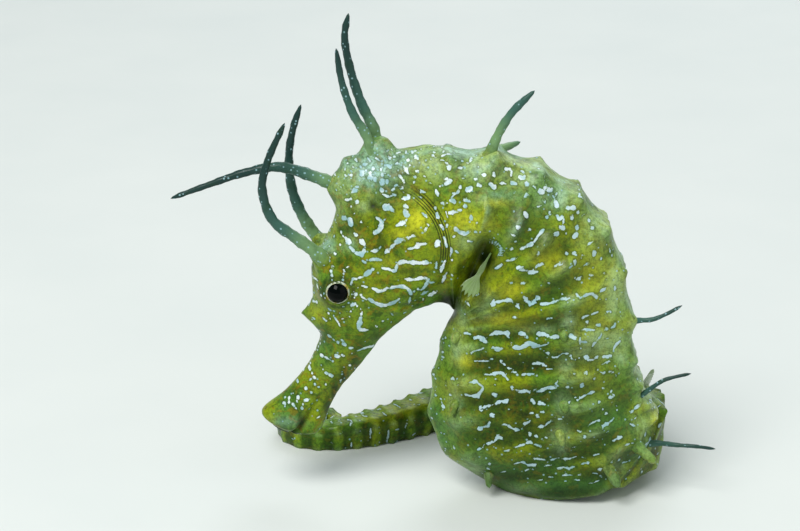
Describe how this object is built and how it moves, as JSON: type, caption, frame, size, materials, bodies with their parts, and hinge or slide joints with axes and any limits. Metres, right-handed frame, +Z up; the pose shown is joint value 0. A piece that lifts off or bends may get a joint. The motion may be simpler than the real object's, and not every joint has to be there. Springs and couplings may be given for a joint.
{
  "type": "seahorse",
  "caption": "Long-snouted seahorse with skin filaments, head bent down, ringed trunk upright, tail laid behind it and coiled at the tip.",
  "frame": {"origin": "middle of the box at the level of the floor the animal rests on", "axes": "+Z up; the snout points toward -X and the back toward +X; the left flank looks toward -Y; the tail lies toward +Y"},
  "size_m": [0.0688, 0.0372, 0.0627],
  "materials": {
    "skin": "wet olive-green skin over bony rings, with white dashes and dots",
    "filament_skin": "dark blue-green skin filaments with fine white specks",
    "fin_membrane": "pale thin fin membrane with rays",
    "eye": "glossy dark eye with a thin golden ring"
  },
  "bodies": {
    "root": {"snout": "skin", "head": "skin", "coronet": "skin", "neck": "skin", "trunk_upper": "skin", "trunk_middle": "skin", "trunk_lower": "skin", "tail_1": "skin", "tail_2": "skin", "tail_3": "skin", "tail_4": "skin", "tail_5": "skin", "tail_6": "skin", "flank_spine_lower": "skin", "flank_spine_rear": "skin", "coronet_filament_left": "filament_skin", "coronet_filament_right": "filament_skin", "forehead_filament": "filament_skin", "brow_filament_left": "filament_skin", "brow_filament_right": "filament_skin", "nape_filament_left": "filament_skin", "nape_filament_right": "filament_skin", "back_filament_left_upper": "filament_skin", "back_filament_left_lower": "filament_skin", "tail_filament_left": "filament_skin", "back_filament_right_upper": "filament_skin", "back_filament_right_lower": "filament_skin", "pectoral_fin_left": "fin_membrane", "pectoral_fin_right": "fin_membrane", "dorsal_fin": "fin_membrane", "anal_fin": "fin_membrane", "eye_left": "eye", "eye_right": "eye"}
  },
  "joints": []
}
